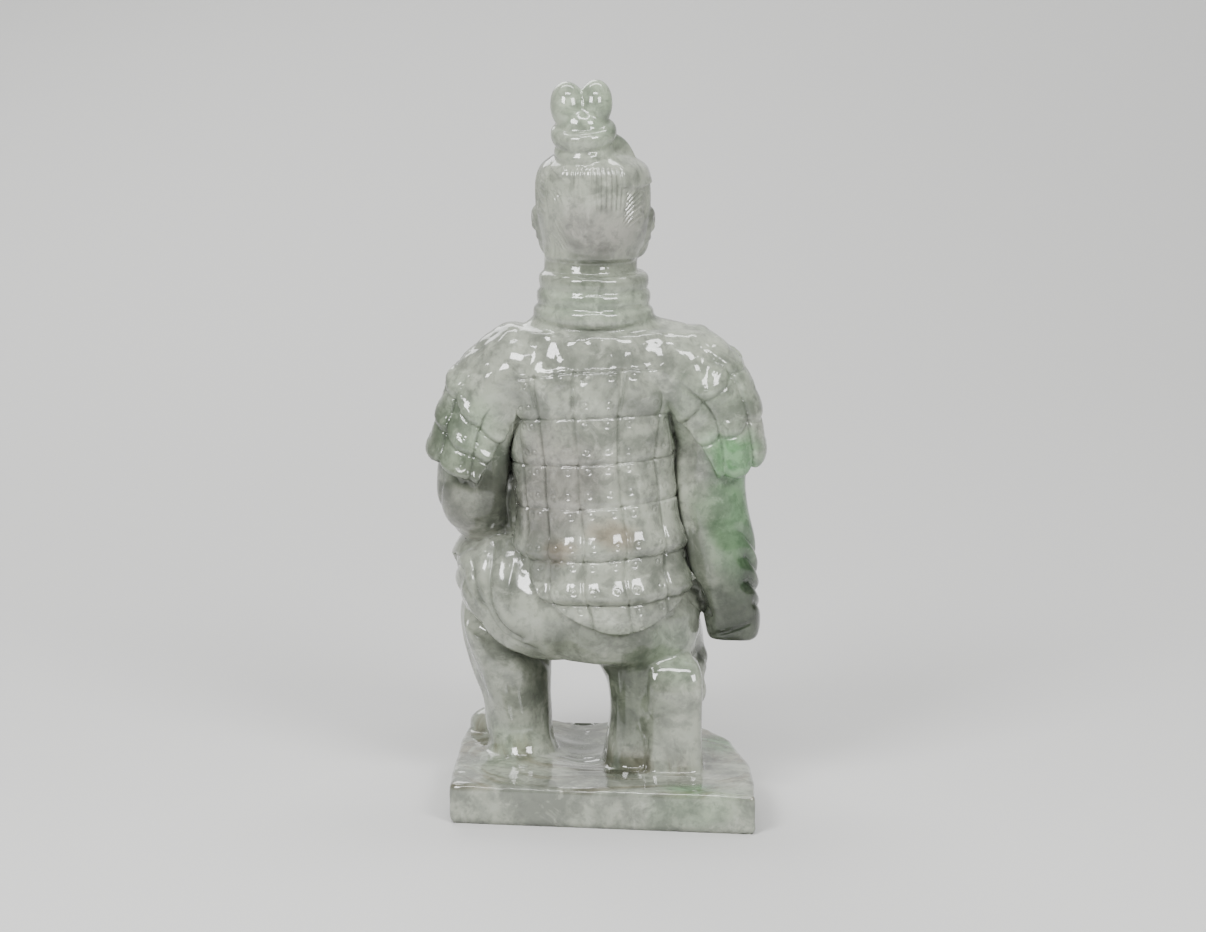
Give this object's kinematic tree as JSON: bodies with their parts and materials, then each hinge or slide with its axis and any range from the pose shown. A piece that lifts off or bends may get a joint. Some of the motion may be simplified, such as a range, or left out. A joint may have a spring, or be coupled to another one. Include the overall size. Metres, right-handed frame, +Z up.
{
  "type": "jadeite soldier figurine",
  "caption": "Kneeling soldier in plate armour with a topknot, carved with its flat plinth from one block of polished jadeite, as a shelf ornament.",
  "frame": {"origin": "on the plinth's flat underside, midway between its left and right sides and between its front and back", "axes": "+Z up, the soldier faces -Y, and +X is at the soldier's left hand"},
  "size_m": [0.0925, 0.0798, 0.1997],
  "materials": {
    "jadeite": "polished"
  },
  "bodies": {
    "root": {"jadeite_soldier": "jadeite"}
  },
  "joints": []
}
